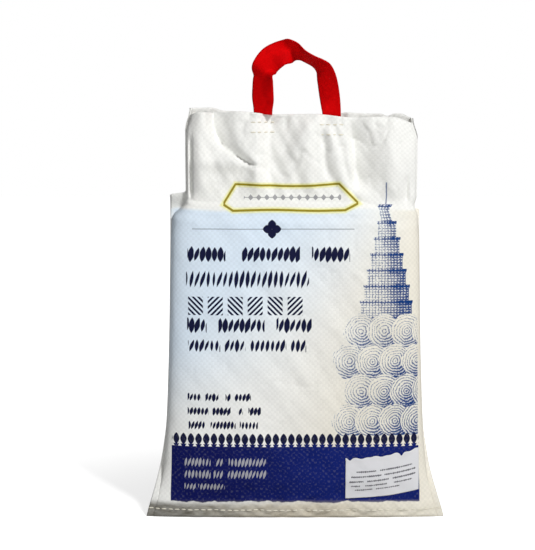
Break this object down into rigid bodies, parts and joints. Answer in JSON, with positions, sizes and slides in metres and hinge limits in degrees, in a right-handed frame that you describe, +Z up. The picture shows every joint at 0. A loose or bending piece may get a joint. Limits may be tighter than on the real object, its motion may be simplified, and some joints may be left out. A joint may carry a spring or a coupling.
{
  "type": "rice sack",
  "caption": "Filled woven sack of rice that stands on its base, with a sewn hem along the foot, an open creased collar and a flat carrying strap.",
  "frame": {"origin": "centre of the bounding box's foot, on the surface the sack stands on", "axes": "+Z up along the sack's length, +X to the right as the printed front is seen, +Y from the printed front to the back"},
  "size_m": [0.332, 0.08, 0.5312],
  "materials": {
    "woven_cloth": "printed woven plastic tape, satin",
    "strap_webbing": "red pressed webbing, satin",
    "label_paper": "white coated paper, satin"
  },
  "bodies": {
    "root": {"sack": "woven_cloth", "strap": "strap_webbing", "label": "label_paper"}
  },
  "joints": []
}
